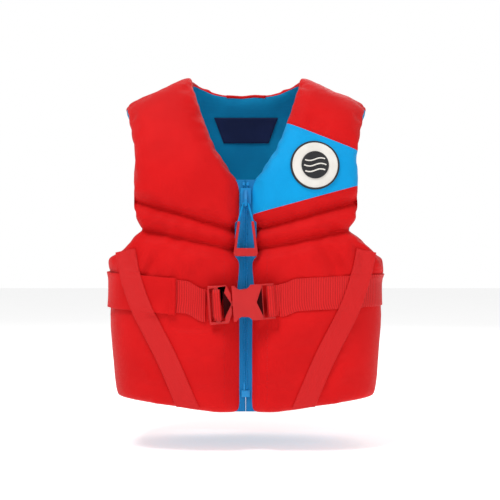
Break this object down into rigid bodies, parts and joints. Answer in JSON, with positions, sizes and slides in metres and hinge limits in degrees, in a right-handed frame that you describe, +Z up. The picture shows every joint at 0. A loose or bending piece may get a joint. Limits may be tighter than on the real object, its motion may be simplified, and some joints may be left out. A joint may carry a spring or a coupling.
{
  "type": "life jacket",
  "caption": "Youth foam life jacket in red with a blue yoke, front zip, waist belt with side-release buckle and two diagonal straps.",
  "frame": {"origin": "midpoint between the undersides of the two shoulders, where the wearer's shoulders carry the jacket", "axes": "+Z up, -Y out of the front, +X to the wearer's left"},
  "size_m": [0.3446, 0.2131, 0.4078],
  "materials": {
    "shell_red": "woven nylon, red",
    "shell_blue": "woven nylon, bright blue",
    "lining_blue": "lining cloth, blue",
    "foam_grey": "closed-cell foam",
    "webbing_red": "ribbed webbing, red",
    "zip_blue": "woven tape with a coil, blue",
    "zip_plastic": "moulded, blue",
    "plastic_red": "moulded, red",
    "cord_blue": "braided cord, blue",
    "badge_white": "soft patch, off-white",
    "badge_dark": "soft patch, near black",
    "label_navy": "woven label, navy"
  },
  "bodies": {
    "vest": {"front_shell_right_lower": "shell_red", "front_shell_right_upper": "shell_red", "front_shell_left_lower": "shell_red", "front_shell_left_chest": "shell_red", "front_shell_left_shoulder": "shell_red", "side_shell_right": "shell_red", "side_shell_left": "shell_red", "back_shell_lower": "shell_red", "back_shell_upper": "shell_red", "neck_binding": "shell_red", "belt_sleeve_right": "shell_red", "front_shell_left_yoke": "shell_blue", "front_lining_right": "lining_blue", "front_lining_left": "lining_blue", "side_lining_right": "lining_blue", "side_lining_left": "lining_blue", "back_lining": "lining_blue", "foam_front_right_lower": "foam_grey", "foam_front_right_middle": "foam_grey", "foam_front_right_upper": "foam_grey", "foam_front_left_lower": "foam_grey", "foam_front_left_middle": "foam_grey", "foam_front_left_upper": "foam_grey", "foam_side_right": "foam_grey", "foam_side_left": "foam_grey", "foam_back_lower": "foam_grey", "foam_back_upper": "foam_grey", "belt_webbing_left": "webbing_red", "belt_webbing_back": "webbing_red", "diagonal_strap_right": "webbing_red", "diagonal_strap_left": "webbing_red", "zip_tape_right": "zip_blue", "zip_tape_left": "zip_blue", "zip_stop_right": "zip_plastic", "zip_stop_left": "zip_plastic", "zip_pin": "zip_plastic", "zip_box": "zip_plastic", "buckle_socket": "plastic_red", "chest_badge": "badge_white", "chest_badge_centre": "badge_dark", "size_label": "label_navy"},
    "slider": {"zip_slider": "zip_plastic"},
    "pull": {"zip_pull_cord": "cord_blue", "zip_pull_handle": "plastic_red"},
    "plug": {"buckle_plug": "plastic_red", "belt_webbing_right": "webbing_red"},
    "arm_upper": {"buckle_arm_upper": "plastic_red"},
    "arm_lower": {"buckle_arm_lower": "plastic_red"}
  },
  "joints": [
    {"name": "zip_slide", "type": "slide", "parent": "vest", "child": "slider", "axis": [0, 0, -1], "range_m": [0, 0.2175]},
    {"name": "pull_swing", "type": "hinge", "parent": "slider", "child": "pull", "pos_m": [0, -0.0935, -0.1452], "axis": [-1, 0, 0], "range_deg": [0, 165]},
    {"name": "buckle_release", "type": "slide", "parent": "vest", "child": "plug", "axis": [-0.9976, 0, -0.0698], "range_m": [0, 0.03], "deforming": ["belt_webbing_right", "buckle_arm_upper", "buckle_arm_lower"]},
    {"name": "squeeze_upper", "type": "hinge", "parent": "plug", "child": "arm_upper", "pos_m": [-0.01566, -0.1057, -0.2555], "axis": [0, 1, 0], "range_deg": [0, 9], "stiffness_Nm_per_rad": 0.5},
    {"name": "squeeze_lower", "type": "hinge", "parent": "plug", "child": "arm_lower", "pos_m": [-0.01468, -0.1057, -0.26946], "axis": [0, -1, 0], "range_deg": [0, 9], "stiffness_Nm_per_rad": 0.5}
  ]
}
